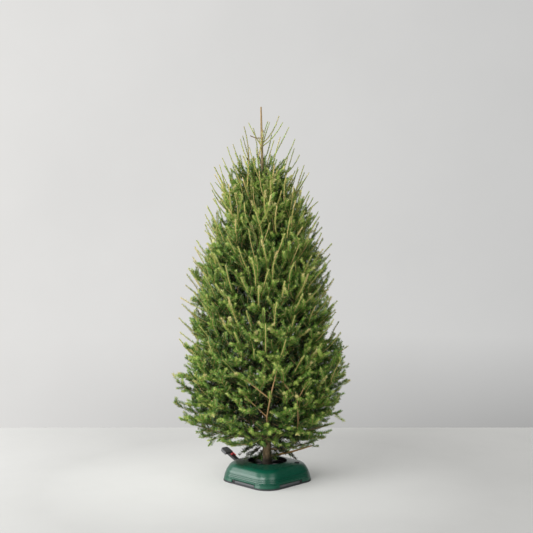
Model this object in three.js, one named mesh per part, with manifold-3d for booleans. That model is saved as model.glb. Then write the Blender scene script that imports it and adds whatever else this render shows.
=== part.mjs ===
// A cut Christmas tree, a young spruce about two metres tall, held in a moulded tree stand with a foot pedal.
// Units are millimetres, +Z is up, and the origin is the middle of the stand's flat underside.
// The tree is a trunk with whorls of tapering boughs and masses of needles set round it in tiers.

import * as THREE from "three";
import { mergeVertices } from "three/addons/utils/BufferGeometryUtils.js";
import Module from "manifold-3d";

const wasm = await Module();
wasm.setup();

// ---------------------------------------------------------------- driving dimensions

const GAP = 0.3; // clearance between pieces that touch

// Trunk
const TREE_TOP = 2020; // tip of the leader above the floor
const TRUNK_FOOT = 18 + GAP; // flat cut, standing on the floor of the bowl
const FOOT_RADIUS = 27;
const FLARE = 3; // how much the cut foot is thicker than the even taper
const FLARE_HEIGHT = 60;
const LEADER_RADIUS = 4; // at the very tip
const TRUNK_LEAN = 34; // the tip stands this far to -X of the foot
const TRUNK_SWAY = 7; // shallow bow of the trunk along Y

// Crown outline, through the furthest shoot tips
const CROWN_RADIUS = 518;
const WIDEST_AT = 520;
const CROWN_FOOT = 125; // where the outline would close underneath
const CROWN_HEAD = 2010; // where it would close at the top
const CROWN_OFFSET = 0.055; // the crown is this much fuller on its -X side
const HEAD_SHOULDER = 0.53; // 1 would make the upper crown a straight cone, less makes its shoulders fuller
const FOOT_FULLNESS = 1.8; // higher keeps the crown wide further down
const FOOT_ROUNDING = 0.65;

// Stand
const STAND_SIDE = 388; // straight across two opposite walls, at the foot
const CORNER_RADIUS = 92;
const SHELL_FOOT = 8; // lower edge of the green shell
const WALL_TOP = 84; // where the wall turns into the deck
const DECK_EDGE = 95;
const RIM_TOP = 105;
const RIM_RADIUS = 107; // round opening in the deck
const BOWL_FLOOR = 18;
const BOWL_RADIUS = 99; // at the floor
const ROUND_STEPS = 40;

// Pedal, in a frame turned so that its lever points along its own +X
const PEDAL_TURN = (135 * Math.PI) / 180;
const PIVOT_OUT = 168; // pivot from the stand's centre
const PIVOT_UP = 36;
const PEDAL_RISE = (24 * Math.PI) / 180;
const LEVER_LENGTH = 150;
const LEVER_WIDTH = 28;
const LEVER_THICK = 14;
const SLOT_HALF = 18; // half width of the slot the lever swings in
const TRUNNION_RADIUS = 4;

// ---------------------------------------------------------------- materials

const plastic = (color, roughness) => new THREE.MeshStandardMaterial({ color, roughness, metalness: 0 });

const bark = plastic(0x6b5a3c, 0.9);
const needles = plastic(0x4a5f28, 0.85);
const greenShell = plastic(0x14654e, 0.25);
const blackRubber = plastic(0x26282a, 0.7);
const blackPlastic = plastic(0x1c1d1f, 0.45);
const redPlastic = plastic(0xc41f2a, 0.4);

// ---------------------------------------------------------------- small helpers

const UP = new THREE.Vector3(0, 0, 1);
const tree = new THREE.Group();

function addPart(name, geometry, material, parent = tree) {
  const mesh = new THREE.Mesh(geometry, material);
  mesh.name = name;
  parent.add(mesh);
  return mesh;
}

// A repeatable number from 0 to 1 for each whole-number key.
function chance(...key) {
  const seed = key.reduce((sum, value, place) => sum + value * (12.9898 + 65.2 * place), 1.7);
  const wave = Math.sin(seed) * 43758.5453;
  return wave - Math.floor(wave);
}

function toSolid(geometry) {
  const bare = geometry.clone();
  bare.deleteAttribute("normal");
  bare.deleteAttribute("uv");
  const merged = mergeVertices(bare, 1e-3);
  return new wasm.Manifold(
    new wasm.Mesh({
      numProp: 3,
      vertProperties: new Float32Array(merged.attributes.position.array),
      triVerts: new Uint32Array(merged.index.array),
    }),
  );
}

function toGeometry(solid) {
  const mesh = solid.getMesh();
  const geometry = new THREE.BufferGeometry();
  geometry.setAttribute("position", new THREE.BufferAttribute(mesh.vertProperties, 3));
  geometry.setIndex(new THREE.BufferAttribute(mesh.triVerts, 1));
  geometry.computeVertexNormals();
  return geometry;
}

function cut(geometry, ...cutters) {
  const solid = cutters.reduce((left, cutter) => left.subtract(toSolid(cutter)), toSolid(geometry));
  return toGeometry(solid);
}

function box(x0, x1, y0, y1, z0, z1) {
  const geometry = new THREE.BoxGeometry(x1 - x0, y1 - y0, z1 - z0);
  return geometry.translate((x0 + x1) / 2, (y0 + y1) / 2, (z0 + z1) / 2);
}

// A limb: a closed cylinder whose sections are carried along a path, centre(t), with radius(t).
// Its sections are square to the path, or all level.
function limb(centre, radius, sides, steps, level = false) {
  const geometry = new THREE.CylinderGeometry(1, 1, 1, sides, steps);
  const position = geometry.attributes.position;
  const point = new THREE.Vector3();
  for (let i = 0; i < position.count; i++) {
    point.fromBufferAttribute(position, i);
    const t = point.y + 0.5;
    const along = centre(Math.min(t + 0.01, 1)).sub(centre(Math.max(t - 0.01, 0))).normalize();
    const turn = new THREE.Quaternion().setFromUnitVectors(new THREE.Vector3(0, 1, 0), level ? UP : along);
    const offset = new THREE.Vector3(point.x * radius(t), 0, point.z * radius(t)).applyQuaternion(turn);
    offset.add(centre(t));
    position.setXYZ(i, offset.x, offset.y, offset.z);
  }
  return geometry;
}

// ---------------------------------------------------------------- trunk

// The middle of the trunk at a height.
function trunkAxis(z) {
  const t = (z - TRUNK_FOOT) / (TREE_TOP - TRUNK_FOOT);
  return new THREE.Vector3(-TRUNK_LEAN * Math.pow(t, 1.3), TRUNK_SWAY * Math.sin(Math.PI * t), z);
}

// Slightly flared at the cut foot, then an even taper up to a thin leader.
function trunkRadius(z) {
  const t = (z - TRUNK_FOOT) / (TREE_TOP - TRUNK_FOOT);
  const flare = FLARE * Math.exp(-(z - TRUNK_FOOT) / FLARE_HEIGHT);
  return LEADER_RADIUS + (FOOT_RADIUS - LEADER_RADIUS - FLARE) * Math.pow(1 - t, 0.9) + flare;
}

const TRUNK_SIDES = 12;
const TRUNK_STEPS = 14;

function trunk(extra = 0) {
  const height = (t) => TRUNK_FOOT + (TREE_TOP - TRUNK_FOOT) * t;
  const radius = (t) => trunkRadius(height(t)) + extra;
  return limb((t) => trunkAxis(height(t)), radius, TRUNK_SIDES, TRUNK_STEPS, true);
}

// ---------------------------------------------------------------- crown

// Reach of the furthest shoot tips at a height: rounded below the widest place, a full cone above it.
function outline(z) {
  if (z >= WIDEST_AT) {
    const left = Math.max((CROWN_HEAD - z) / (CROWN_HEAD - WIDEST_AT), 0);
    return CROWN_RADIUS * Math.pow(left, HEAD_SHOULDER);
  }
  const drop = Math.min((WIDEST_AT - z) / (WIDEST_AT - CROWN_FOOT), 1);
  return CROWN_RADIUS * Math.pow(1 - Math.pow(drop, FOOT_FULLNESS), FOOT_ROUNDING);
}

// How steeply boughs climb that leave the trunk at a height: nearly level below, steep at the head.
const LOWEST_START = 150;
const HIGHEST_START = 1800;
const LEAST_CLIMB = 0.2;
const MOST_CLIMB = 1.95;

function climb(start) {
  const t = THREE.MathUtils.clamp((start - LOWEST_START) / (HIGHEST_START - LOWEST_START), 0, 1);
  return LEAST_CLIMB + (MOST_CLIMB - LEAST_CLIMB) * Math.pow(t, 1.5);
}

// How far out such a bough gets before it meets the outline.
function reach(start) {
  let r = 100;
  for (let i = 0; i < 30; i++) r = (r + outline(start + climb(start) * r)) / 2;
  return r;
}

// A point of the crown: round the trunk by angle, on a bough from height start, at a share of its reach.
function crownPoint(angle, start, share) {
  const fuller = 1 - CROWN_OFFSET * Math.cos(angle);
  const r = share * reach(start) * fuller;
  const z = start + (climb(start) * r) / fuller;
  const axis = trunkAxis(z);
  return new THREE.Vector3(axis.x + r * Math.cos(angle), axis.y + r * Math.sin(angle), z);
}

const SQUARENESS = 9; // 2 leaves the ball round, more fills the corners of its cell
const TUFT = 0.2; // how unevenly the outer face stands, as a share of the reach
const TUCK = 0.08; // how unevenly the sides stand, as a share of the cell's width
const LIFT = 0.1; // how unevenly the top and underside stand, as a share of the cell's height

// One mass of needles: a ball pulled out to fill its cell of the crown, with an uneven, tufted outer face.
function foliageMass(cell, key, detail) {
  const loose = new THREE.IcosahedronGeometry(1, detail);
  loose.deleteAttribute("normal");
  loose.deleteAttribute("uv");
  const ball = mergeVertices(loose, 1e-4);
  const position = ball.attributes.position;
  for (let i = 0; i < position.count; i++) {
    const way = [position.getX(i), position.getY(i), position.getZ(i)];
    const powers = way.map((w) => Math.pow(Math.abs(w), SQUARENESS));
    const size = Math.pow(powers[0] + powers[1] + powers[2], 1 / SQUARENESS);
    const [across, up, out] = way.map((w) => w / size);
    const tuck = 1 - TUCK * chance(key, i, 1);
    const lift = 1 - LIFT * chance(key, i, 2);
    const tuft = Math.max(out, 0) * TUFT * (chance(key, i, 3) - 0.7);
    const angle = cell.angle + cell.halfAngle * across * tuck;
    const start = cell.start + cell.halfStart * up * lift;
    const share = THREE.MathUtils.lerp(cell.inner, 1 - 0.3 * TUFT, (out + 1) / 2) + tuft;
    const point = crownPoint(angle, start, share);
    position.setXYZ(i, point.x, point.y, point.z);
  }
  return ball;
}

// Tiers from the lowest up: the height where its boughs leave the trunk, its masses, the clear core left
// round the trunk as a share of the reach, and how finely its surface is faceted.
const TIERS = [
  { name: "lowest", from: 150, masses: 5, turn: 0.15, core: 0.36, detail: 3 },
  { name: "lower", from: 345, masses: 5, turn: 0.75, core: 0.3, detail: 2 },
  { name: "middle", from: 565, masses: 5, turn: 0.3, core: 0.27, detail: 2 },
  { name: "upper", from: 800, masses: 5, turn: 0.9, core: 0.24, detail: 2 },
  { name: "high", from: 1040, masses: 4, turn: 0.4, core: 0.22, detail: 2 },
  { name: "shoulder", from: 1275, masses: 4, turn: 1.1, core: 0.2, detail: 2 },
  { name: "crest", from: 1480, masses: 3, turn: 0.5, core: 0.24, detail: 2 },
];
const CREST_END = 1775;
const TIER_GAP = 7; // half the opening left between two tiers
const MASS_GAP = 0.02; // half the opening left between two neighbours, in radians
const UNEVEN_MASSES = 0.24; // how much neighbours differ in width, as a share of a mass

function tierCells(tier, index) {
  const top = index + 1 < TIERS.length ? TIERS[index + 1].from : CREST_END;
  const step = (2 * Math.PI) / tier.masses;
  const edge = (j) => tier.turn + step * (j + UNEVEN_MASSES * (chance(index, j % tier.masses, 9) - 0.5));
  return Array.from({ length: tier.masses }, (_, j) => ({
    angle: (edge(j) + edge(j + 1)) / 2,
    halfAngle: (edge(j + 1) - edge(j)) / 2 - MASS_GAP,
    start: (tier.from + top) / 2,
    halfStart: (top - tier.from) / 2 - TIER_GAP,
    inner: tier.core,
  }));
}

// A bough runs from the trunk to the inner face of its mass, and stops just clear of it.
const BOUGH_STOP = 8;
const BOUGH_SAG = 10;
const BOUGH_RADII = [11, 9.5]; // in the lowest tier and the one above it
const BOUGH_SIDES = 7;

function bough(cell, radius) {
  const foot = crownPoint(cell.angle, cell.start, 0);
  const end = crownPoint(cell.angle, cell.start, cell.inner - BOUGH_STOP / reach(cell.start));
  const middle = foot.clone().add(end).multiplyScalar(0.5);
  middle.z -= BOUGH_SAG;
  const path = new THREE.QuadraticBezierCurve3(foot, middle, end);
  return cut(limb((t) => path.getPoint(t), (t) => radius * (1 - 0.4 * t), BOUGH_SIDES, 3), trunk(GAP));
}

addPart("trunk", trunk(), bark);

TIERS.forEach((tier, index) => {
  tierCells(tier, index).forEach((cell, j) => {
    addPart(`foliage_${tier.name}_${j + 1}`, foliageMass(cell, 10 * index + j, tier.detail), needles);
    const radius = BOUGH_RADII[index];
    if (radius) addPart(`bough_${tier.name}_${j + 1}`, bough(cell, radius), bark);
  });
});

// The bare limb under the crown, low on the +X side.
const bareLimb = new THREE.QuadraticBezierCurve3(
  trunkAxis(128),
  new THREE.Vector3(120, -30, 150),
  new THREE.Vector3(236, -58, 196),
);
const bareBough = limb((t) => bareLimb.getPoint(t), (t) => 8 - 4 * t, BOUGH_SIDES, 5);
addPart("bough_bare", cut(bareBough, trunk(GAP)), bark);

// ---------------------------------------------------------------- stand

// Turned so that one corner points to -Y; its own X and Y run square to its walls.
const stand = new THREE.Group();
stand.rotation.z = Math.PI / 4;
tree.add(stand);

// Distance from the centre to a rounded square's edge, in a direction.
function squareRadius(angle, half, corner) {
  const x = Math.abs(Math.cos(angle));
  const y = Math.abs(Math.sin(angle));
  const flat = half - corner;
  const straight = half / Math.max(x, y);
  if (Math.min(x, y) * straight <= flat) return straight;
  const along = (x + y) * flat;
  return along + Math.sqrt(along * along - 2 * flat * flat + corner * corner);
}

// Sections of the shell from the middle of its underside, up the wall, over the deck, down into the bowl.
const HALF = STAND_SIDE / 2;
const SHELL_SECTIONS = [
  { z: SHELL_FOOT, round: 0 },
  { z: SHELL_FOOT, half: HALF, corner: CORNER_RADIUS },
  { z: 34, half: HALF - 4, corner: CORNER_RADIUS - 1 },
  { z: 62, half: HALF - 13, corner: CORNER_RADIUS - 4 },
  { z: WALL_TOP, half: HALF - 25, corner: CORNER_RADIUS - 8 },
  { z: DECK_EDGE, half: HALF - 37, corner: CORNER_RADIUS - 10 },
  { z: RIM_TOP, round: RIM_RADIUS + 10 },
  { z: RIM_TOP, round: RIM_RADIUS },
  { z: BOWL_FLOOR, round: BOWL_RADIUS },
  { z: BOWL_FLOOR, round: 0 },
];

function standShell() {
  const profile = SHELL_SECTIONS.map((s) => new THREE.Vector2(s.round === 0 ? 0 : 1, s.z));
  const geometry = new THREE.LatheGeometry(profile, ROUND_STEPS);
  geometry.rotateX(Math.PI / 2);
  const position = geometry.attributes.position;
  for (let i = 0; i < position.count; i++) {
    const section = SHELL_SECTIONS[i % SHELL_SECTIONS.length];
    const angle = Math.atan2(position.getY(i), position.getX(i));
    const r = section.round ?? squareRadius(angle, section.half, section.corner);
    position.setXYZ(i, r * Math.cos(angle), r * Math.sin(angle), section.z);
  }
  return geometry;
}

// Foot strips sit in a recess along the foot of each wall.
const STRIP_HEIGHT = 13;
const STRIP_DEPTH = 16;
const STRIP_SET_BACK = 2; // behind the foot of the wall
// Along the wall, from the end near a side corner to the end near the front or back corner.
const STRIP_SPAN = [-52, 96];
const RECESS_SPAN = [-72, 98];
const RECESS_DEPTH = STRIP_DEPTH + 4;
const RECESS_TOP = SHELL_FOOT + STRIP_HEIGHT + 2;
const THROUGH = 20; // how far a cutter stands out of what it cuts

const quarterTurns = [0, 1, 2, 3].map((n) => (n * Math.PI) / 2);

// A block along the foot of one of the four walls, mirrored from each wall to the next.
function alongWall(n, [from, to], [back, front], [foot, top]) {
  const block = n % 2 === 0 ? box(from, to, back, front, foot, top) : box(-to, -from, back, front, foot, top);
  return block.rotateZ(quarterTurns[n]);
}

function recess(_, n) {
  return alongWall(n, RECESS_SPAN, [HALF - RECESS_DEPTH, HALF + THROUGH], [0, RECESS_TOP]);
}

// The slot in one wall for the pedal, with a socket for the lever's trunnion in each cheek.
const SLOT_INNER = PIVOT_OUT - 16;
const SLOT_FOOT = 22;

function pedalSlot() {
  return box(SLOT_INNER, HALF + THROUGH, -SLOT_HALF, SLOT_HALF, SLOT_FOOT, RIM_TOP + THROUGH);
}

function trunnion(radius, length) {
  return new THREE.CylinderGeometry(radius, radius, length, 16);
}

const TRUNNION_REACH = 5; // how far each end stands into its cheek
const pedalTurnInStand = PEDAL_TURN - Math.PI / 4;
const sockets = trunnion(TRUNNION_RADIUS + 0.7, 2 * (SLOT_HALF + TRUNNION_REACH + 2));
sockets.translate(PIVOT_OUT, 0, PIVOT_UP).rotateZ(pedalTurnInStand);

// The water gauge on one corner of the deck, let into it.
const GAUGE = { x: 92, y: -134, length: 26, width: 9, foot: DECK_EDGE - 4, top: DECK_EDGE + 9 };

function gaugeBlock(grow, z0, z1) {
  const x = GAUGE.length / 2 + grow;
  const y = GAUGE.width / 2 + grow;
  return box(-x, x, -y, y, z0, z1).rotateZ(-Math.PI / 4).translate(GAUGE.x, GAUGE.y, 0);
}

addPart(
  "stand_shell",
  cut(
    standShell(),
    ...quarterTurns.map(recess),
    pedalSlot().rotateZ(pedalTurnInStand),
    sockets,
    gaugeBlock(GAP, GAUGE.foot, RIM_TOP + THROUGH),
  ),
  greenShell,
  stand,
);

addPart("stand_gauge", gaugeBlock(0, GAUGE.foot + GAP, GAUGE.top), blackPlastic, stand);

function roundedSquare(half, corner) {
  const shape = new THREE.Shape();
  const flat = half - corner;
  [[1, 1], [-1, 1], [-1, -1], [1, -1]].forEach(([x, y], n) => {
    shape.absarc(x * flat, y * flat, corner, (n * Math.PI) / 2, ((n + 1) * Math.PI) / 2);
  });
  return shape;
}

const baseOptions = { depth: SHELL_FOOT - GAP, bevelEnabled: false, curveSegments: 8 };
const base = new THREE.ExtrudeGeometry(roundedSquare(HALF + 1, CORNER_RADIUS + 1), baseOptions);
addPart("stand_base", base, blackRubber, stand);

quarterTurns.forEach((_, n) => {
  const front = HALF - STRIP_SET_BACK;
  const heights = [SHELL_FOOT, SHELL_FOOT + STRIP_HEIGHT];
  const strip = alongWall(n, STRIP_SPAN, [front - STRIP_DEPTH, front], heights);
  addPart(`foot_strip_${n + 1}`, strip, blackRubber, stand);
});

// The clamp: a ring in the mouth of the bowl, and four claws that hinge on it and grip the trunk.
const RING = { inner: 95, outer: 103.5, foot: 62, top: 88 };
const ringProfile = [
  [RING.inner, RING.foot],
  [RING.outer - 1, RING.foot],
  [RING.outer, RING.top],
  [RING.inner, RING.top],
  [RING.inner, RING.foot],
].map(([r, z]) => new THREE.Vector2(r, z));
const hoop = new THREE.LatheGeometry(ringProfile, ROUND_STEPS).rotateX(Math.PI / 2);
addPart("clamp_ring", hoop, blackPlastic, stand);

const CLAW_WIDTH = 20;
const CLAW_GAP = 0.5; // left round the trunk
const clawProfile = [
  [RING.inner - 1.5, 58],
  [RING.inner - 1.5, 84],
  [74, 97],
  [46, 95],
  [20, 84],
  [20, 62],
  [34, 60],
  [48, 74],
  [72, 72],
  [80, 58],
].map(([r, z]) => new THREE.Vector2(r, z));

quarterTurns.forEach((turn, n) => {
  const options = { depth: CLAW_WIDTH, bevelEnabled: false };
  const claw = new THREE.ExtrudeGeometry(new THREE.Shape(clawProfile), options);
  claw.translate(0, 0, -CLAW_WIDTH / 2).rotateX(Math.PI / 2).rotateZ(turn);
  const gripped = cut(claw, trunk(CLAW_GAP).rotateZ(-Math.PI / 4));
  addPart(`clamp_claw_${n + 1}`, gripped, blackPlastic, stand);
});

// ---------------------------------------------------------------- pedal

// The group sits on the pivot, turned outward and raised; pieces are laid out along its +X.
const pedal = new THREE.Group();
pedal.position.set(PIVOT_OUT * Math.cos(PEDAL_TURN), PIVOT_OUT * Math.sin(PEDAL_TURN), PIVOT_UP);
pedal.rotation.set(0, -PEDAL_RISE, PEDAL_TURN, "ZYX");
tree.add(pedal);

const PIVOT_RADIUS = 9;
const LEVER_NECK = 26; // where the lever is at its full thickness

function lever() {
  const side = new THREE.Shape();
  const half = LEVER_THICK / 2;
  side.absarc(0, 0, PIVOT_RADIUS, Math.PI / 3, (5 * Math.PI) / 3);
  side.lineTo(LEVER_NECK, -half);
  side.lineTo(LEVER_LENGTH, -half + 1);
  side.lineTo(LEVER_LENGTH, half - 1);
  side.lineTo(LEVER_NECK, half);
  const options = { depth: LEVER_WIDTH, bevelEnabled: false, curveSegments: 6 };
  const bar = new THREE.ExtrudeGeometry(side, options).translate(0, 0, -LEVER_WIDTH / 2).rotateX(Math.PI / 2);
  const pin = trunnion(TRUNNION_RADIUS, 2 * (SLOT_HALF + TRUNNION_REACH));
  return toGeometry(toSolid(bar).add(toSolid(pin)));
}

addPart("pedal_lever", lever(), blackPlastic, pedal);

// The foot plate widens past the lever and has well-rounded far corners.
const PLATE = { length: 50, width: 54, thick: 17, round: 17, widening: 9, lift: 1 };

function footPlate() {
  const near = PLATE.width / 2;
  const far = near - PLATE.round;
  const start = LEVER_LENGTH + GAP;
  const end = start + PLATE.length;
  const shape = new THREE.Shape();
  shape.moveTo(start, -LEVER_WIDTH / 2);
  shape.lineTo(start + PLATE.widening, -near);
  shape.absarc(end - PLATE.round, -far, PLATE.round, -Math.PI / 2, 0);
  shape.absarc(end - PLATE.round, far, PLATE.round, 0, Math.PI / 2);
  shape.lineTo(start + PLATE.widening, near);
  shape.lineTo(start, LEVER_WIDTH / 2);
  const options = { depth: PLATE.thick, bevelEnabled: false, curveSegments: 5 };
  return new THREE.ExtrudeGeometry(shape, options).translate(0, 0, -PLATE.thick / 2 + PLATE.lift);
}

addPart("pedal_plate", footPlate(), blackPlastic, pedal);

// The lock: a round button on top of the lever, and a slide along its side.
const LOCK_AT = LEVER_LENGTH - 24;
const BUTTON_HEIGHT = 5;
const buttonMiddle = LEVER_THICK / 2 + GAP + BUTTON_HEIGHT / 2;
const lockButton = new THREE.CylinderGeometry(7, 7.5, BUTTON_HEIGHT, 18).rotateX(Math.PI / 2);
addPart("lock_button", lockButton.translate(LOCK_AT, 2, buttonMiddle), redPlastic, pedal);

const SLIDE_THICK = 3;
const slideEdge = -LEVER_WIDTH / 2 - GAP;
const lockSlide = box(LOCK_AT - 14, LOCK_AT + 16, slideEdge - SLIDE_THICK, slideEdge, -3, 11);
addPart("lock_slide", lockSlide, redPlastic, pedal);

export default tree;
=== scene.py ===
# %% [markdown]
# # A cut spruce in its stand
#
# This lesson dresses a plain engineering model of a Christmas tree: a trunk, a few boughs, closed lumps where the
# needles are, and a moulded stand with a foot pedal. The lumps give way to boughs, twigs and needles that grow by a
# seeded rule, the wood gets bark, and the stand gets its rounded, glossy shell. Lengths are in metres, +Z is up, and
# the tree stands on the floor at the origin.

# %% Load the frame
import math

import bmesh
import bpy
import numpy as np
from mathutils import Matrix, Vector
from mathutils.bvhtree import BVHTree
from mathutils.kdtree import KDTree


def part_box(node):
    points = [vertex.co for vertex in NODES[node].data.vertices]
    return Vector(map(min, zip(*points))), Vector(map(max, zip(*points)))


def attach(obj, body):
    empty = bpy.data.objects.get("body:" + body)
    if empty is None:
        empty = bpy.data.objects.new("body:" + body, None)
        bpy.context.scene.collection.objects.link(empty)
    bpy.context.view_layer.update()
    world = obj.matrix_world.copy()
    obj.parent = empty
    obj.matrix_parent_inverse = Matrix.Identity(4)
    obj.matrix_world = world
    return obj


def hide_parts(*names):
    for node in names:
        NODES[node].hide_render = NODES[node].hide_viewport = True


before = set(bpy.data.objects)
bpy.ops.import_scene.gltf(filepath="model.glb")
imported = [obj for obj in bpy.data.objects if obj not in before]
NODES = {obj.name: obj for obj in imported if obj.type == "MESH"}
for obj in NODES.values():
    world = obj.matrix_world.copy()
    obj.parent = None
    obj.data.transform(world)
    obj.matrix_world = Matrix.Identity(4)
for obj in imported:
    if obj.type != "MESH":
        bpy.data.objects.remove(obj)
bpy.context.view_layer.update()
MM = 0.001
UP = Vector((0, 0, 1))

# %% [markdown]
# ## Camera
#
# A tall tree is best seen level and from well back, with a slightly long lens, so that its head doesn't seem to lean
# away. The camera could be aimed at a target, but a level one keeps upright lines upright. It stands in front, which
# is the -Y side.

# %% Camera
scene = bpy.context.scene
lens = bpy.data.cameras.new("camera")
lens.lens = 57
lens.sensor_width = 36
camera = bpy.data.objects.new("camera", lens)
camera.location = (-0.004, -4.574, 1.155)
camera.rotation_euler = (math.pi / 2, 0, 0)
scene.collection.objects.link(camera)
scene.camera = camera
scene.view_settings.view_transform = "Standard"
print("camera at", [round(x, 3) for x in camera.location], "with a", round(lens.lens), "mm lens")

# %% [markdown]
# ## Colours and shader nodes
#
# Colours are easiest to read as hex codes, as they look on a screen. Shaders work in linear light, so one helper
# turns the one into the other. Nodes could be added and linked line by line. The same few kinds are needed again and
# again, so each kind gets a short helper that takes values and other nodes' outputs alike.


# %% Colours and shader nodes
def srgb(code):
    """Turns a hex colour such as "4a5f28" into the linear numbers that shaders use."""
    channels = [int(code[i : i + 2], 16) / 255 for i in (0, 2, 4)]
    return [c / 12.92 if c <= 0.04045 else ((c + 0.055) / 1.055) ** 2.4 for c in channels] + [1.0]


def feed(owner, node, inputs):
    """Gives each input of a node a value, or a link from another node's output."""
    for name, value in dict(inputs).items():
        if isinstance(value, bpy.types.NodeSocket):
            owner.node_tree.links.new(node.inputs[name], value)
        else:
            node.inputs[name].default_value = value


def add_node(owner, kind, inputs=(), **properties):
    """Adds one node to a material or world."""
    made = owner.node_tree.nodes.new("ShaderNode" + kind)
    for name, value in properties.items():
        setattr(made, name, value)
    feed(owner, made, inputs)
    return made


def new_material(name, inputs):
    """A material with one Principled shader, and that shader."""
    material = bpy.data.materials.new(name)
    material.use_nodes = True
    material.node_tree.nodes.clear()
    shader = add_node(material, "BsdfPrincipled", inputs)
    add_node(material, "OutputMaterial", {"Surface": shader.outputs[0]})
    return material, shader


def object_place(owner):
    return add_node(owner, "TexCoord").outputs["Object"]


def noise(owner, place, scale, detail, roughness=0.5):
    """A cloudy value from 0 to 1."""
    inputs = {"Vector": place, "Scale": scale, "Detail": detail, "Roughness": roughness}
    return add_node(owner, "TexNoise", inputs).outputs[0]


def map_range(owner, value, given, wanted):
    """Turns one range of a value into another, and stops at its ends."""
    inputs = {0: value, 1: given[0], 2: given[1], 3: wanted[0], 4: wanted[1]}
    return add_node(owner, "MapRange", inputs).outputs[0]


def multiply(owner, first, second):
    return add_node(owner, "Math", {0: first, 1: second}, operation="MULTIPLY").outputs[0]


def blend(owner, share, first, second, mode="MIX"):
    """Mixes two colours, each a hex code or another node's output."""
    first, second = (srgb(c) if isinstance(c, str) else c for c in (first, second))
    inputs = {0: share, 6: first, 7: second}
    return add_node(owner, "Mix", inputs, data_type="RGBA", blend_type=mode).outputs[2]


print("mid grey 808080 is", round(srgb("808080")[0], 3), "in linear light")

# %% [markdown]
# ## Floor
#
# The tree stands on pale trowelled plaster. A plane is enough for it, because its unevenness shows only in its tone:
# faint clouds, from noise on Object coordinates. Its colour is also painted paler near the tree and toward the back:
# painted light that offsets the shade under the crown and the lamps' fall-off. It ends behind the tree, and beyond
# its edge stands the wall.

# %% Floor
FLOOR_BEHIND = 1.48
FLOOR_FRONT = 3.6
FLOOR_HALF_WIDTH = 3.4


def link_object(name, mesh, material):
    """A new object at the origin that holds a mesh."""
    made = bpy.data.objects.new(name, mesh)
    scene.collection.objects.link(made)
    mesh.materials.append(material)
    return made


plaster, plaster_shader = new_material("trowelled_pale_plaster", {"Roughness": 0.85})
place = object_place(plaster)
from_tree = add_node(plaster, "VectorMath", {0: place}, operation="LENGTH").outputs["Value"]
to_back = add_node(plaster, "SeparateXYZ", {0: place}).outputs[1]
# Painted light: the plaster is paler near the tree and toward the back, against the shade under the crown and the
# lamps' fall-off.
painted_light_near_tree = map_range(plaster, from_tree, (0.3, 1.2), (1.36, 1.0))
painted_light_to_back = map_range(plaster, to_back, (-1.5, 1.4), (0.78, 1.26))
clouds = blend(plaster, noise(plaster, place, 2.2, 7.0, 0.62), "b9b9b7", "c2c2c0")
floor_colour = blend(plaster, 1.0, clouds, multiply(plaster, painted_light_near_tree, painted_light_to_back), "MULTIPLY")
feed(plaster, plaster_shader, {"Base Color": floor_colour})

bm = bmesh.new()
bmesh.ops.create_grid(bm, x_segments=1, y_segments=1, size=1)
bmesh.ops.scale(bm, vec=(FLOOR_HALF_WIDTH, (FLOOR_FRONT + FLOOR_BEHIND) / 2, 1), verts=bm.verts)
bmesh.ops.translate(bm, vec=(0, (FLOOR_BEHIND - FLOOR_FRONT) / 2, 0), verts=bm.verts)
floor_mesh = bpy.data.meshes.new("floor")
bm.to_mesh(floor_mesh)
bm.free()
floor = link_object("floor", floor_mesh, plaster)
print("floor", [round(x, 2) for x in floor.dimensions.xy], "m")

# %% [markdown]
# ## Wall
#
# A wall of real geometry would stand in the way when the tree is looked at from behind. A world has no such trouble,
# so it plays the wall: a gradient from the bright left to the dim right, with a faint mottle, and darker low down on
# the right, which is painted shade where the wall meets the floor. It also gives the even light of a large pale room.

# %% Wall
world = bpy.data.worlds.new("pale_room")
world.use_nodes = True
sight = add_node(world, "TexCoord").outputs["Generated"]
across, _, height = add_node(world, "SeparateXYZ", {0: sight}).outputs
wash = add_node(world, "ValToRGB", {0: map_range(world, across, (-1, 1), (0, 1))})
stops = wash.color_ramp.elements
stops[0].color, stops[1].color = srgb("ffffff"), srgb("222222")
for position, tone in ((0.34, "e4e3e1"), (0.65, "cacac9"), (0.8, "909090")):
    stops.new(position).color = srgb(tone)
mottle = map_range(world, noise(world, sight, 5.0, 8.0, 0.6), (0.3, 0.7), (0.975, 1.02))
# Painted shade: the wall is darker at its foot, most of all on the right, where it meets the floor.
painted_shade_low_down = map_range(world, height, (-0.08, -0.19), (0, 1))
painted_shade_strength = map_range(world, across, (-0.3, 0.3), (0.06, 0.37))
lit = map_range(world, multiply(world, painted_shade_low_down, painted_shade_strength), (0, 1), (1, 0))
sky = {"Color": wash.outputs[0], "Strength": multiply(world, mottle, lit)}
feed(world, world.node_tree.nodes["Background"], sky)
scene.world = world
print("the wall's tone has", len(stops), "stops")

# %% [markdown]
# ## Lamps
#
# The light is soft and comes mostly from the left, as from tall windows. Area lamps give the soft edges that sun or
# point lamps can't. The key stands at the left front. A second one, low on the left, draws the broad pale reflection
# on the stand's glossy wall. A weak one from the right keeps the shade open.


# %% Lamps
def soft_lamp(name, position, target, width, height, power):
    """A rectangular area lamp that faces a target."""
    light = bpy.data.lights.new(name, "AREA")
    light.shape = "RECTANGLE"
    light.size, light.size_y = width, height
    light.energy = power
    lamp = bpy.data.objects.new(name, light)
    lamp.location = position
    lamp.rotation_euler = (Vector(target) - Vector(position)).to_track_quat("-Z", "Y").to_euler()
    scene.collection.objects.link(lamp)
    print(name, power, "W,", round(lamp.location.length, 1), "m from the tree's foot")


soft_lamp("key", (-2.6, -3.8, 2.9), (0, 0, 0.9), 2.8, 2.6, 170)
soft_lamp("low_left", (-4.3, -1.1, 1.2), (0, 0, 0.5), 4.2, 2.4, 188)
soft_lamp("fill", (2.2, -3.2, 2.6), (0.4, -0.5, 0), 2.4, 2.4, 48)
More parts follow.
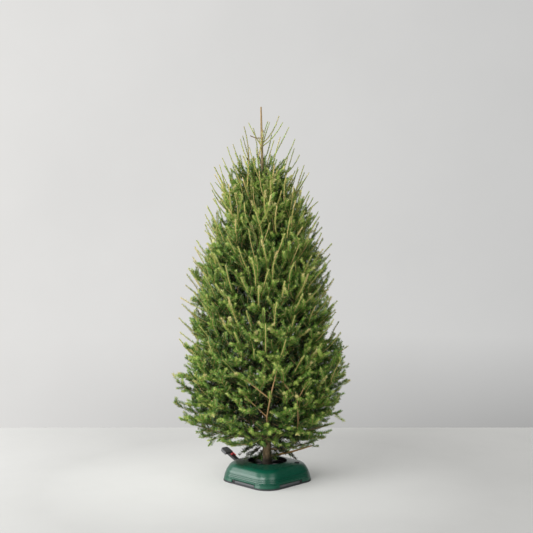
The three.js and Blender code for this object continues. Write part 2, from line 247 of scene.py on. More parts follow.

# %% [markdown]
# ## Needle and twig finishes
#
# Spruce needles are waxy, blue green to yellow green, and paler where they are young. A pattern could tint them, but
# they are far smaller than a pattern could show on. So each finish is one plain colour on the shader's own sockets,
# and the variety comes from dealing several greens out spray by spray. Besides the paler young tips, the greens are
# painted shade and painted light: darker deep inside the crown, lighter at its edge and high up, and the two palest
# are made paler still as painted sheen. Twigs and buds are dull and tan.


# %% Needle and twig finishes
def plain(name, colour, roughness, ior=1.5):
    """A finish of one even colour."""
    return new_material(name, {"Base Color": srgb(colour), "Roughness": roughness, "IOR": ior})[0]


# Darker greens go deep in the crown and lighter ones high up and at its edge: painted shade and painted light.
NEEDLE_TINTS = {
    "deep": "1c2b0e",
    "shade": "304a18",
    "mid": "4c7026",
    "fresh": "6d9038",
    "bright": "9ab254",
    "straw": "c6c37e",
}
needle_finish = {name: plain(f"waxy_spruce_needle_{name}", tint, 0.42, 1.45) for name, tint in NEEDLE_TINTS.items()}
old_twig = plain("scaly_old_twig_bark", "5f4d33", 0.85)
young_twig = plain("smooth_young_twig_bark", "bd9f66", 0.7)
bough_skin = plain("smooth_pale_bough_bark", "96774c", 0.75)
bud_scale = plain("papery_bud_scales", "c8a676", 0.75)
print(len(needle_finish), "greens, and finishes for old and young twigs, pale boughs and buds")

# %% [markdown]
# ## Bark
#
# A young spruce has thin, scaly, grey-brown bark with a green bloom of algae. Low down, just above the stand's bowl,
# the bark turns nearly black, and the leader at the top is still smooth and pale. Cells of a Voronoi pattern,
# stretched upward, make the flakes, because plain noise has no edges. The three changes of colour are laid over it
# one by one.

# %% Bark
DARK_FOOT = (0.112, 0.145)  # heights between which the bark turns from nearly black to its own colour
SMOOTH_LEADER = (1.86, 1.97)  # heights between which it turns young and pale


def spruce_bark():
    """Young spruce bark: thin flakes a few millimetres across, grey brown with a green bloom of algae."""
    material, shader = new_material("flaky_spruce_bark", {"Roughness": 0.88})
    place = object_place(material)
    height = add_node(material, "SeparateXYZ", {0: place}).outputs[2]
    tall = add_node(material, "Mapping", {"Vector": place, "Scale": (1, 1, 0.4)}).outputs[0]
    flakes = add_node(material, "TexVoronoi", {"Vector": tall, "Scale": 1 / (9 * MM)}).outputs["Distance"]
    algae = noise(material, tall, 1 / (40 * MM), 6.0)
    colour = blend(material, flakes, "5e4d37", "a08b69")
    for share, tone in (
        (map_range(material, algae, (0.45, 0.7), (0, 0.6)), "77794c"),
        (map_range(material, height, SMOOTH_LEADER, (0, 0.85)), "8f7650"),
        (map_range(material, height, DARK_FOOT, (0.93, 0)), "15110c"),
    ):
        colour = blend(material, share, colour, tone)
    bump = add_node(material, "Bump", {"Height": flakes, "Strength": 0.6, "Distance": 1.2 * MM})
    feed(material, shader, {"Base Color": colour, "Normal": bump.outputs[0]})
    return material


bark = spruce_bark()
print(bark.name, "has", len(bark.node_tree.nodes), "nodes")

# %% [markdown]
# ## Moulded plastics and rubber
#
# The stand's shell is glossy green polypropylene, the pedal and clamp are black nylon, and the feet are rubber. All
# are mouldings, so one rule makes them: a colour that drifts a little, and a fine grain that breaks up the gloss and
# the surface. Their colour, gloss and size of grain differ. A plain colour would look like paint.


# %% Moulded plastics and rubber
def moulded(name, light, dark, roughness, grain, depth, ior=1.49):
    """An injection moulding with slow drifts of tone and a fine grain, its size and depth in millimetres."""
    material, shader = new_material(name, {"IOR": ior})
    place = object_place(material)
    fine = noise(material, place, 1 / (grain * MM), 2.0)
    gloss = map_range(material, fine, (0.3, 0.7), (roughness - 0.05, roughness + 0.07))
    tone = blend(material, noise(material, place, 1 / (60 * MM), 3.0), dark, light)
    bump = add_node(material, "Bump", {"Height": fine, "Strength": 0.35, "Distance": depth * MM})
    feed(material, shader, {"Base Color": tone, "Roughness": gloss, "Normal": bump.outputs[0]})
    return material


green_shell = moulded("moulded_green_polypropylene", "084d3a", "06402f", 0.27, 2.5, 0.03)
black_plastic = moulded("glass_filled_black_nylon", "0f1011", "0a0b0b", 0.5, 1.2, 0.08)
black_rubber = moulded("black_foot_rubber", "303234", "242628", 0.72, 1.5, 0.15)
# Painted shade: a near-black, dull finish for the inside of the bowl, where shadow falls.
painted_shade_bowl = moulded("painted_shade_black_bowl", "08080a", "050506", 0.75, 1.2, 0.08, ior=1.12)
strip_finish = moulded("dusty_grey_foot_rubber", "505254", "434547", 0.6, 1.5, 0.15)
tread_finish = moulded("worn_grey_tread_rubber", "565759", "47484a", 0.5, 1.5, 0.15)
red_plastic = moulded("red_acetal", "cf2b33", "bd1f2a", 0.34, 1.5, 0.03)
print(len(bpy.data.materials), "materials so far")

# %% [markdown]
# ## Reading the frame
#
# The growth rule needs two facts from the model: where the trunk's middle is at each height, and how far the crown
# reaches each way. The first comes from the rings of the trunk's mesh. The second comes from rays shot at the needle
# masses from outside, at many heights and angles, and kept as a small chart of the crown.

# %% The trunk's axis
trunk_points = np.array([v.co for v in NODES["trunk"].data.vertices])
ring_heights = np.unique(trunk_points[:, 2].round(4))
rings = [trunk_points[abs(trunk_points[:, 2] - z) < 1e-4] for z in ring_heights]
ring_middles = np.array([(ring.min(0) + ring.max(0)) / 2 for ring in rings])
ring_radii = np.array([np.linalg.norm(ring - middle, axis=1).max() for ring, middle in zip(rings, ring_middles)])
TREE_TOP = ring_heights[-1]
print(len(rings), "rings up to", round(float(TREE_TOP), 3), "m")


def trunk_middle(z):
    x, y = (np.interp(z, ring_heights, ring_middles[:, axis]) for axis in (0, 1))
    return Vector((x, y, z))


def named(start):
    return sorted(n for n in NODES if n.startswith(start))


def ramp(value, given, wanted):
    """A value read off a line through given points."""
    return float(np.interp(value, given, wanted))


def level_way(angle):
    return Vector((math.cos(angle), math.sin(angle), 0))


def from_trunk(point):
    """The level step from the trunk's middle to a point."""
    return (point - trunk_middle(point.z)).xy


# %% The crown's edge
MASSES = named("foliage_")
CHART_ANGLES = 72
CHART_HEIGHTS = 96
chart_low = min(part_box(n)[0].z for n in MASSES)
chart_high = max(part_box(n)[1].z for n in MASSES)


def chart_the_crown():
    """How far the needle masses reach from the trunk's middle, for each height and angle."""
    corners, faces = [], []
    for name in MASSES:
        mesh = NODES[name].data
        faces += [[i + len(corners) for i in p.vertices] for p in mesh.polygons]
        corners += [v.co.copy() for v in mesh.vertices]
    solid = BVHTree.FromPolygons(corners, faces)
    chart = np.zeros((CHART_HEIGHTS, CHART_ANGLES))
    for row, z in enumerate(np.linspace(chart_low, chart_high, CHART_HEIGHTS)):
        for column in range(CHART_ANGLES):
            angle = 2 * math.pi * column / CHART_ANGLES
            way = level_way(angle)
            hit = solid.ray_cast(trunk_middle(z) + way, -way, 1.0)[0]
            chart[row, column] = (hit - trunk_middle(z)).dot(way) if hit else 0.0
    return chart


def widen(chart, rows, columns):
    """Each place takes the furthest reach near it, so that the gaps between masses don't notch the crown."""
    padded = np.pad(chart, ((rows, rows), (0, 0)), mode="edge")
    tall = np.max([padded[i : i + len(chart)] for i in range(2 * rows + 1)], axis=0)
    return np.max([np.roll(tall, shift, axis=1) for shift in range(-columns, columns + 1)], axis=0)


crown_chart = widen(chart_the_crown(), 2, 2)
print("crown reaches", round(float(crown_chart.max()), 3), "m from the trunk")


def crown_edge(angle, z):
    """The crown's reach at a height and angle, from the chart."""
    row = (z - chart_low) / (chart_high - chart_low) * (CHART_HEIGHTS - 1)
    row = min(max(row, 0), CHART_HEIGHTS - 1.001)
    column = (angle / (2 * math.pi) % 1) * CHART_ANGLES
    r0, c0 = int(row), int(column) % CHART_ANGLES
    c1 = (c0 + 1) % CHART_ANGLES
    down, side = row - r0, column - int(column)
    low = crown_chart[r0, c0] * (1 - side) + crown_chart[r0, c1] * side
    high = crown_chart[r0 + 1, c0] * (1 - side) + crown_chart[r0 + 1, c1] * side
    return float(low * (1 - down) + high * down)


def depth_inside(point):
    """How far a point is inside the crown's edge; less than zero outside it."""
    if point.z > chart_high:
        return -(point.z - chart_high)
    x, y = from_trunk(point)
    return crown_edge(math.atan2(y, x), point.z) - math.hypot(x, y)


# %% [markdown]
# ## The growth rule
#
# A conifer fills its crown by repeating one step: a shoot reaches toward the light, and sends out side shoots. So
# the rule starts from the light. Places are spread evenly through the outer part of the crown, the innermost first.
# Each pulls a branchlet toward itself from the nearest limb, and that branchlet is a limb for the next ones. Boughs
# are nearly level at the foot and steep at the head. Everything is drawn from one seeded generator, so that the tree
# is the same each time.

# %% What the growth keeps, and how limbs vary
rng = np.random.default_rng(20)
GOLDEN_TURN = 2.39996
BOUGHS_END = 1.74
BOUGH_SAG = 0.06
CLIMB_STARTS, CLIMB_SPAN = 0.15, 1.65
LOWEST_SLOPE, EXTRA_SLOPE = 0.2, 1.75
LONG_NEEDLE = 0.0185
SHORT_NEEDLE = 0.013
boughs = []  # (points, radii) of the main limbs
twigs = []  # (points, radii, whether the bark is old) of branchlets and shoots
sprays = []  # (points, needle length, depth inside the crown, share of needles)
sites = []  # (place, heading) where a new shoot can start


def vary(share):
    """A random factor within a share of 1."""
    return 1 + share * rng.uniform(-1, 1)


def climb(start):
    """How steeply a bough climbs that leaves the trunk at a height."""
    t = min(max((start - CLIMB_STARTS) / CLIMB_SPAN, 0), 1)
    return LOWEST_SLOPE + EXTRA_SLOPE * t**1.5


def needle_at(z):
    """How long needles are at a height: shorter at the head."""
    return ramp(z, (1.3, 1.72), (LONG_NEEDLE, SHORT_NEEDLE))


def at(points, share):
    """The place and heading part of the way along a path."""
    x = share * (len(points) - 1)
    i = min(int(x), len(points) - 2)
    return points[i].lerp(points[i + 1], x - i), (points[i + 1] - points[i]).normalized()


def length_of(points):
    return sum((b - a).length for a, b in zip(points, points[1:]))


def offer_sites(points, first):
    """Lets later shoots start from the part of a path beyond a share of its length."""
    count = max(int(length_of(points) * (1 - first) / 0.014), 1)
    sites.extend(at(points, first + (1 - first) * (k + 1) / count) for k in range(count))


print("a bough climbs", round(climb(0.2), 2), "at the foot and", round(climb(1.6), 2), "at the head")

# %% [markdown]
# ## Boughs
#
# The main limbs leave the trunk in a spiral and carry everything else. Those of the model keep their place, and many
# thinner ones fill in between them, each a golden turn on from the last, which is how buds are set on a real stem. A
# bough is a line that climbs and sags a little, and ends short of the crown's edge.


# %% Boughs
def grow_bough(start, angle, thick):
    """A main limb from the trunk to near the crown's edge."""
    foot = trunk_middle(start)
    slope = climb(start)
    reach = 0.1
    for _ in range(24):
        reach = (reach + crown_edge(angle, start + slope * reach)) / 2
    reach = min(reach * rng.uniform(0.8, 0.95), (BOUGHS_END - start) / slope)
    out = level_way(angle)
    aside = Vector((-out.y, out.x, 0)) * reach * rng.normal(0, 0.05)
    sag = BOUGH_SAG * reach
    path = []
    for t in np.linspace(0, 1, 10):
        swing = aside * math.sin(math.pi * t)
        height = slope * reach * t - sag * math.sin(math.pi * t) * (1 - 0.4 * t)
        path.append(foot + out * (reach * t) + swing + UP * height)
    boughs.append((path, [thick * (1 - 0.75 * t) for t in np.linspace(0, 1, len(path))]))
    offer_sites(path, 0.18)
    sprays.append((path[5:], needle_at(path[-1].z), depth_inside(path[-1]), 0.8))


def trunk_radius(z):
    return ramp(z, ring_heights, ring_radii)


def limb_in_frame(name):
    """Where one of the model's boughs leaves the trunk and which way it points."""
    points = np.array([v.co for v in NODES[name].data.vertices])
    away = np.array([math.hypot(*from_trunk(Vector(p))) for p in points])
    near = Vector(points[away < away.min() + 0.01].mean(0))
    far = Vector(points[away > away.max() - 0.01].mean(0))
    way = far - near
    return near.z - climb(near.z) * trunk_radius(near.z), math.atan2(way.y, way.x)


LOWEST_START = 0.16
HIGHEST_START = 1.64
FILLING_BOUGHS = 96
for name in named("bough_l"):
    start, angle = limb_in_frame(name)
    grow_bough(start, angle, 0.0095)
for k in range(FILLING_BOUGHS):
    share = (k + 0.5) / FILLING_BOUGHS
    start = LOWEST_START + (HIGHEST_START - LOWEST_START) * share
    grow_bough(start, GOLDEN_TURN * k + rng.normal(0, 0.12), 0.0075 * (1 - 0.5 * share))
offer_sites([trunk_middle(z) for z in np.linspace(1.45, 1.79, 7)], 0)
print(len(boughs), "boughs offer", len(sites), "places to start from")

# %% [markdown]
# ## Branchlets that reach for the light
#
# Shoots near the foot lie level or droop, those half way up rise at fifty degrees, and those at the head stand
# nearly upright, longer and with shorter needles. That change with height gives the crown its spiky outline.

# %% Where the light falls
LIGHT_SPACING = 0.068
LIT_DEPTH = 0.27
EDGE_ZONE = 0.05
EDGE_SHARE = 0.4
YEARS = 10
LONGEST_REACH = 0.19
RISE_HEIGHTS = (0.12, 0.3, 0.55, 1.0, 1.5, 1.8)
RISE_DEGREES = (-14, 8, 34, 50, 60, 70)
HEAD_HEIGHTS = (1.5, 1.6, 1.7, 1.76, 1.765)
HEAD_REACHES = (0.6, 0.21, 0.17, 0.12, 0)
HEAD_STARTS = 1.68
FOOT_ENDS = 0.35


def underside(point):
    """The lowest height that foliage hangs to, further up the further out."""
    x, y = from_trunk(point)
    return 0.12 + 0.2 * math.hypot(x, y) + 0.14 * max(-y, 0)


def in_front_of_fork(place):
    """Whether a place would hide the open bough at the front."""
    return place.y < -0.3 and abs(place.x) < 0.05 and 0.36 < place.z < 0.56


def is_lit(place):
    """Whether a branchlet may end at a place: in the crown's outer part, but seldom right at its edge."""
    depth = depth_inside(place)
    head_reach = ramp(place.z, HEAD_HEIGHTS, HEAD_REACHES)
    lit_depth = ramp(place.z, (0.35, 0.6), (0.4, LIT_DEPTH))
    if not 0 < depth < lit_depth or place.z < underside(place) or math.hypot(*from_trunk(place)) > head_reach:
        return False
    if in_front_of_fork(place) or (place.z < FOOT_ENDS and rng.random() < 0.25):
        return False
    return depth > EDGE_ZONE or rng.random() < EDGE_SHARE


def light_places():
    """Evenly spread places in the crown's outer part, the innermost first."""
    found = []
    layers = int((chart_high - chart_low) / (0.8 * LIGHT_SPACING))
    across = int(0.55 / LIGHT_SPACING)
    for layer in range(layers):
        z = chart_low + (layer + 0.5) * 0.8 * LIGHT_SPACING
        shift = 0.5 * (layer % 2)
        for i in range(-across, across + 1):
            for j in range(-across, across + 1):
                spot = Vector((i + shift, j + shift, 0)) + Vector(rng.uniform(-0.42, 0.42, 3))
                place = trunk_middle(z) + spot * LIGHT_SPACING
                if is_lit(place):
                    found.append(place)
    return sorted(found, key=depth_inside, reverse=True)


places = light_places()
print(len(places), "places in the light")

# %% [markdown]
# ## Side shoots
#
# A branchlet carries shoots left and right and a few on top. They could be copies of one model, but copies show at
# once in a tree. Each is a short curve of its own, drawn from the same generator.


# %% Branchlets and side shoots
def way_up(place, spread):
    """The way a shoot that ends at a place points: outward, rising more the higher it is."""
    out = from_trunk(place).to_3d().normalized()
    rise = math.radians(ramp(place.z, RISE_HEIGHTS, RISE_DEGREES))
    return (out * math.cos(rise) + UP * math.sin(rise) + Vector(rng.normal(0, spread, 3))).normalized()


def bend(start, tip, heading, steps=4):
    """A curved path from a start to a tip that ends along a heading."""
    turn = tip - heading * (tip - start).length * 0.55
    shares = [k / steps for k in range(steps + 1)]
    return [start.lerp(turn, t).lerp(turn.lerp(tip, t), t) for t in shares]


def taper(points, thick):
    """Radii that fall by two fifths along a path."""
    last = len(points) - 1
    return [thick * (1 - 0.4 * k / last) for k in range(last + 1)]


def add_shoot(points, thick, needle_length, share=1.0, old=False):
    """Records a branchlet or shoot and its needles."""
    twigs.append((points, taper(points, thick), old))
    sprays.append((points, needle_length, depth_inside(points[-1]), share))


def side_shoots(path, needle_length):
    """Shoots left and right along a branchlet, with a few on its upper side."""
    whole = length_of(path)
    count = min(max(int(whole / 0.032), 2), 4) if path[-1].z < HEAD_STARTS else 1
    for k in range(count):
        place, ahead = at(path, 0.3 + 0.6 * (k + rng.uniform(0.2, 0.8)) / count)
        level = ahead.cross(UP).normalized()
        over = level.cross(ahead)
        roll = rng.normal(0.25, 0.45)
        out = level * (math.cos(roll) * (-1) ** k) + over * math.sin(roll)
        spread = math.radians(rng.uniform(36, 54))
        heading = ahead * math.cos(spread) + out * math.sin(spread)
        tip = place + heading * (0.02 + 0.33 * whole) * vary(0.25)
        if tip.z > underside(tip) and depth_inside(tip) > -0.012:
            add_shoot(bend(place, tip, (heading + UP * 0.3).normalized(), 3), 0.0013, needle_length)


def reach_for(tip, heading, length, sites_tree):
    """The path of a branchlet that grows to a tip from the best site near, or None."""
    wish = tip - heading * length
    best, least = None, 1e9
    for place, index, away in sites_tree.find_n(wish, 10):
        reach = (tip - place).length
        straight = (tip - place).dot(sites[index][1]) / max(reach, 1e-6)
        cost = away + 0.05 * (1 - straight)
        if 0.03 < reach < LONGEST_REACH and cost < least:
            best, least = place, cost
    return best and bend(best, tip, heading)


# %% Ten years of growth
def tree_of_sites():
    """The start places, sorted for quick search."""
    tree = KDTree(len(sites))
    for index, (place, _) in enumerate(sites):
        tree.insert(place, index)
    tree.balance()
    return tree


for year in range(YEARS):
    tree = tree_of_sites()
    for tip in places[len(places) * year // YEARS : len(places) * (year + 1) // YEARS]:
        length = ramp(tip.z, (0.2, 1.2, 1.7), (0.085, 0.1, 0.16)) * vary(0.2)
        path = reach_for(tip, way_up(tip, 0.2), length, tree)
        if path:
            add_shoot(path, 0.0019, needle_at(tip.z), 1.0 if tip.z < HEAD_STARTS else 0.9, depth_inside(tip) > 0.1)
            side_shoots(path, needle_at(tip.z))
            offer_sites(path, 0.3)
print(len(twigs), "branchlets and side shoots")

# %% [markdown]
# ## The head and the foot
#
# The upper half sends long thin shoots past the crown's edge, and round the bare leader stands a ring of them whose
# short needles hug the stem. The leader has one dead stub. Low down at the front, pale boughs fork in the open, a
# bare limb leaves the trunk on the right, and a few weak shoots hang down to the stand.

# %% Leading shoots and the head
LEADING_SHOOTS = 230
leading_tips = []
for k in range(LEADING_SHOOTS):
    z = 0.62 + 1.08 * ((k + rng.uniform(0, 1)) / LEADING_SHOOTS) ** 0.8
    angle = GOLDEN_TURN * k
    reach = crown_edge(angle, z) + ramp(z, (0.62, 1.1), (0, 0.025)) * vary(0.8)
    leading_tips.append(trunk_middle(z) + level_way(angle) * reach)
HEAD_TIPS = (  # (x, z) of the longest
    (-0.259, 1.704), (-0.242, 1.738), (-0.212, 1.789), (-0.185, 1.814), (-0.149, 1.862), (-0.124, 1.903),
    (-0.1, 1.931), (-0.045, 1.85), (0.012, 1.937), (0.035, 1.83), (0.062, 1.958), (0.084, 1.941),
    (0.116, 1.903), (0.149, 1.806), (0.174, 1.757), (0.2, 1.704), (0.225, 1.66), (0.15, 1.845),
)
HIDDEN_HEAD_SHOOTS = 9
head_tips = [Vector((x, rng.normal(0, 0.045), z)) for x, z in HEAD_TIPS]
for k in range(HIDDEN_HEAD_SHOOTS):
    reach = 0.05 + 0.18 * (k / HIDDEN_HEAD_SHOOTS) ** 0.75
    away = Vector((math.cos(GOLDEN_TURN * k) * 0.7, math.sin(GOLDEN_TURN * k), 0)) * reach
    height = ramp(reach, (0.04, 0.13, 0.25), (1.93, 1.88, 1.72)) + rng.normal(0, 0.02)
    head_tips.append(trunk_middle(height) + away)
offer_sites([trunk_middle(z) for z in np.linspace(1.72, 1.86, 6)], 0)
tree = tree_of_sites()
for k, tip in enumerate(leading_tips + head_tips):
    in_head = k >= LEADING_SHOOTS
    path = reach_for(tip, way_up(tip, 0.06 if in_head else 0.12), rng.uniform(0.13, 0.17), tree)
    if path:
        add_shoot(path, 0.0025, 0.0095 if in_head else 0.75 * needle_at(tip.z), share=0.6)
stub = [trunk_middle(1.85) + Vector(p) for p in ((0, 0, 0), (-0.034, -0.004, 0.001), (-0.062, -0.004, 0.013))]
twigs.append((stub, [0.0032, 0.0024, 0.0034], True))
knob = [trunk_middle(1.885) + Vector(p) for p in ((0, 0, 0), (0.009, -0.002, -0.001), (0.011, -0.002, 0.008))]
twigs.append((knob, [0.004, 0.0035, 0.002], True))

print(len(head_tips), "shoots in the head")

# %% [markdown]
# ## The open boughs
#
# At the foot the crown is thin, and some boughs show bare. They are the tree's own marks, so chance can't place them.
# Their forks are given as points, and a curve is bent through each.

# %% The open boughs at the foot
KNEE, FORK, SIDE_FORK = (-0.003, -0.36, 0.405), (0.014, -0.4, 0.5), (0.15, -0.36, 0.49)
LIMB_END = (0.236, -0.058, 0.196)
OPEN_BOUGHS = (  # thickness and points: three are a bend, and more are followed
    (0.0055, trunk_middle(0.2), (0, -0.2, 0.285), KNEE, FORK),
    (0.0034, FORK, (-0.045, -0.415, 0.545), (-0.11, -0.41, 0.6)),
    (0.0036, FORK, (0.03, -0.415, 0.58), (0.055, -0.4, 0.67)),
    (0.003, KNEE, (-0.05, -0.37, 0.45), (-0.11, -0.38, 0.51)),
    (0.0034, (0.155, -0.25, 0.33), (0.156, -0.33, 0.4), SIDE_FORK),
    (0.0028, SIDE_FORK, (0.175, -0.37, 0.53), (0.19, -0.37, 0.57)),
    (0.0026, SIDE_FORK, (0.1, -0.37, 0.55), (0.06, -0.37, 0.6)),
    (0.0065, (0, 0, 0.128), (0.06, -0.015, 0.14), (0.12, -0.03, 0.155), (0.18, -0.045, 0.175), LIMB_END),
)
open_boughs = []
for thick, *spots in OPEN_BOUGHS:
    path = [Vector(spot) for spot in spots]
    if len(path) == 3:
        path = bend(path[0], path[2], (path[2] - path[1]).normalized(), 6)
    open_boughs.append((path, taper(path, thick)))
    for share in (0.7, 0.85, 0.99):
        place, ahead = at(path, share)
        heading = (ahead + Vector(rng.normal(0, 0.4, 3))).normalized()
        tip = place + heading * rng.uniform(0.035, 0.055)
        add_shoot(bend(place, tip, heading), 0.0016, LONG_NEEDLE)

print(len(open_boughs), "open boughs")

# %% Hanging shoots
HANGING_TIPS = (
    (-0.15, -0.03, 0.142), (-0.118, -0.07, 0.128), (-0.085, 0.03, 0.13), (-0.06, -0.06, 0.122),
    (-0.04, 0.02, 0.125), (0.045, -0.06, 0.124), (0.065, -0.02, 0.135), (0.1, -0.05, 0.15),
    (0.14, 0.01, 0.126), (0.155, -0.03, 0.12), (0.09, 0.05, 0.13), (-0.13, 0.06, 0.135),
)
for x, y, z in HANGING_TIPS:
    tip = Vector((x, y, z))
    place = trunk_middle(z + 0.06) + Vector((x, y, 0)) * 0.25
    heading = (Vector((x, y, 0)).normalized() * 0.8 - UP * 0.6).normalized()
    path = bend(place, tip, heading)
    twigs.append((path, [0.002, 0.0018, 0.0016, 0.0014, 0.0012], True))
    sprays.append((path[1:], 0.017, 0.2, 1.4))
    middle, ahead = at(path, 0.55)
    for side in (-1, 1):
        out = (ahead.cross(UP) * side + ahead * 0.9).normalized()
        sprays.append((bend(middle, middle + out * 0.04, out - UP * 0.3, 3), 0.016, 0.2, 1.2))
print(len(twigs), "twigs,", len(sprays), "sprays")

# %% [markdown]
# ## Needles from arrays
#
# There are hundreds of thousands of needles, so they are made as arrays. Each is a narrow folded kite of two
# triangles. They stand round the shoot in a spiral, except along its underside, and lean forward, most of all near
# the tip. One count of needles is shared out among all the shoots, by their length and by how near the light they
# are.

# %% Needles
NEEDLE_BUDGET = 440000
NEEDLE_HALF_WIDTH = 0.0015
PARTING = math.radians(75)
FRESH_TIPS = 0.7
PIECE_TRIANGLES = 190000
NEEDLE_FACES = np.array([[0, 1, 2], [0, 2, 3]])
TINT_ORDER = list(NEEDLE_TINTS)


def light_at(depth):
    """How much light reaches a depth inside the crown, from 1 at its edge to 0."""
    return math.exp(-((max(depth, 0) / 0.14) ** 2))


def unit(rows):
    return rows / np.linalg.norm(rows, axis=1, keepdims=True)


def frame_along(ahead):
    """A level and an upward direction square to each row of headings."""
    level = unit(np.cross(ahead, (0.03, 0.05, 1.0)))
    return level, np.cross(level, ahead)


def needles_on(points, count, needle_length, half_width):
    """Four corners for each needle of one shoot, and each needle's place along it."""
    path = np.array(points)
    along = (np.arange(count) + rng.uniform(0, 1, count)) / count
    x = along * (len(path) - 1)
    i = np.minimum(x.astype(int), len(path) - 2)
    place = path[i] + (path[i + 1] - path[i]) * (x - i)[:, None]
    ahead = unit(path[i + 1] - path[i])
    level, over = frame_along(ahead)
    turn = (GOLDEN_TURN * np.arange(count) + rng.normal(0, 0.2, count)) % (2 * math.pi) / (2 * math.pi)
    turn = -math.pi / 2 + PARTING / 2 + turn * (2 * math.pi - PARTING)
    radial = level * np.cos(turn)[:, None] + over * np.sin(turn)[:, None]
    lean = np.radians(62 - 18 * along**2 + rng.normal(0, 7, count)) * (0.6 if needle_length < 0.0125 else 1)
    way = ahead * np.cos(lean)[:, None] + radial * np.sin(lean)[:, None]
    way[:, 2] += 0.1
    way = unit(way)
    size = needle_length * (1 - 0.2 * along**4) * rng.uniform(0.82, 1.12, count)
    flat = unit(np.cross(way, radial))
    roll = rng.uniform(-1.0, 1.0, count)
    flat = flat * np.cos(roll)[:, None] + np.cross(way, flat) * np.sin(roll)[:, None]
    fold = np.cross(flat, way) * (0.35 * half_width)
    middle = place + way * (size * 0.45)[:, None] + fold
    half = flat * half_width
    return np.stack([place, middle - half, place + way * size[:, None], middle + half], axis=1), along


print("a needle is", NEEDLE_HALF_WIDTH * 2 / MM, "mm wide")


# %% Pieces from arrays
def mesh_from_arrays(name, corners, triangles):
    """A mesh from an array of points and an array of triangles."""
    mesh = bpy.data.meshes.new(name)
    mesh.vertices.add(len(corners))
    mesh.vertices.foreach_set("co", corners.astype(np.float32).ravel())
    mesh.loops.add(triangles.size)
    mesh.loops.foreach_set("vertex_index", triangles.astype(np.int32).ravel())
    mesh.polygons.add(len(triangles))
    mesh.polygons.foreach_set("loop_start", np.arange(0, triangles.size, 3, dtype=np.int32))
    mesh.update(calc_edges=True)
    return mesh


def needle_piece(name, corners, tint):
    """One piece from rows of four needle corners."""
    triangles = (np.arange(len(corners))[:, None, None] * 4 + NEEDLE_FACES).reshape(-1, 3)
    print(name, len(triangles), "triangles")
    return link_object(name, mesh_from_arrays(name, corners.reshape(-1, 3), triangles), needle_finish[tint])


print("the tints are", ", ".join(TINT_ORDER))


# %% Dealing out needles and greens
def tint_of(depth, z):
    """Which green a spray has: painted light and shade, lighter at the crown's edge and higher up, with plenty of
    chance.
    """
    painted_light_level = (2.75 + ramp(z, (0.5, 1.6), (0, 0.45))) * light_at(depth) + rng.normal(0, 0.6)
    return int(min(max(round(painted_light_level), 0), len(TINT_ORDER) - 2))


weights = [length_of(points) * share * (0.3 + 0.7 * light_at(depth)) for points, _, depth, share in sprays]
needles_per_metre = NEEDLE_BUDGET / np.sum(weights)
by_tint = {name: [] for name in TINT_ORDER}
for (points, needle_length, depth, _), weight in zip(sprays, weights):
    half_width = NEEDLE_HALF_WIDTH * (1.7 - 0.7 * light_at(depth))
    corners, along = needles_on(points, max(int(weight * needles_per_metre), 4), needle_length, half_width)
    tint = tint_of(depth, points[-1].z)
    tip = along > 0.7
    by_tint[TINT_ORDER[tint]].append(corners[~tip])
    by_tint[TINT_ORDER[tint + (rng.random() < FRESH_TIPS)]].append(corners[tip])

print(round(sum(weights)), "m of full spray with", round(needles_per_metre / 100, 1), "needles to the centimetre")

needle_pieces = []
for name in TINT_ORDER:
    needles = np.concatenate(by_tint[name])
    parts = math.ceil(len(needles) * len(NEEDLE_FACES) / PIECE_TRIANGLES)
    for part, chunk in enumerate(np.array_split(needles, parts)):
        needle_pieces.append(needle_piece(f"needles_{name}_{part + 1}", chunk, name))

# %% [markdown]
# ## Twigs and buds
#
# A twig only shows as a thin tan line between needles, so each is a three-sided tube. Every shoot near the light ends
# in a slim bud with papery scales. Each kind is joined into one piece.


# %% Twigs and buds
def tubes(paths, sides=3):
    """Points and triangles of many thin tubes, one for each path of points with radii."""
    all_points, all_triangles, start = [], [], 0
    circle = 2 * math.pi * np.arange(sides) / sides
    a = np.arange(sides)
    b = (a + 1) % sides
    for points, radii, _ in paths:
        path = np.array(points)
        level, over = frame_along(unit(np.gradient(path, axis=0)))
        ring = level[:, None] * np.cos(circle)[:, None] + over[:, None] * np.sin(circle)[:, None]
        all_points.append((path[:, None] + ring * np.array(radii)[:, None, None]).reshape(-1, 3))
        rows = start + sides * np.arange(len(path) - 1)[:, None]
        p, q = rows + a, rows + b
        all_triangles.append(np.stack([p, q, q + sides], axis=-1).reshape(-1, 3))
        all_triangles.append(np.stack([p, q + sides, p + sides], axis=-1).reshape(-1, 3))
        last = start + sides * (len(path) - 1)
        all_triangles.append(np.array([[last + k, last + k + 1, last] for k in range(1, sides - 1)]))
        start += len(path) * sides
    return np.concatenate(all_points), np.concatenate(all_triangles)


def thin_piece(name, paths, material):
    """One joined piece of many thin tubes."""
    corners, triangles = tubes(paths)
    print(name, len(triangles), "triangles")
    return link_object(name, mesh_from_arrays(name, corners, triangles), material)


BUD_LENGTH = 0.0075
BUD_RADIUS = 0.0024
buds = []
for points, radii, old in twigs:
    if not old and depth_inside(points[-1]) < 0.1:
        ahead = (points[-1] - points[-2]).normalized()
        spots = [points[-1] + ahead * BUD_LENGTH * t for t in (-0.3, 0.2, 0.7)]
        buds.append((spots, [0.0008, BUD_RADIUS, 0.0004], False))
twig_pieces = [
    thin_piece("old_twigs", [t for t in twigs if t[2]], old_twig),
    thin_piece("young_twigs", [t for t in twigs if not t[2]], young_twig),
    thin_piece("buds", buds, bud_scale),
]

# %% [markdown]
# ## Trunk and boughs
#
# A limb is a ring of vertices extruded along its path. Each ring is pushed in and out a little, so that the bark has
# real relief.


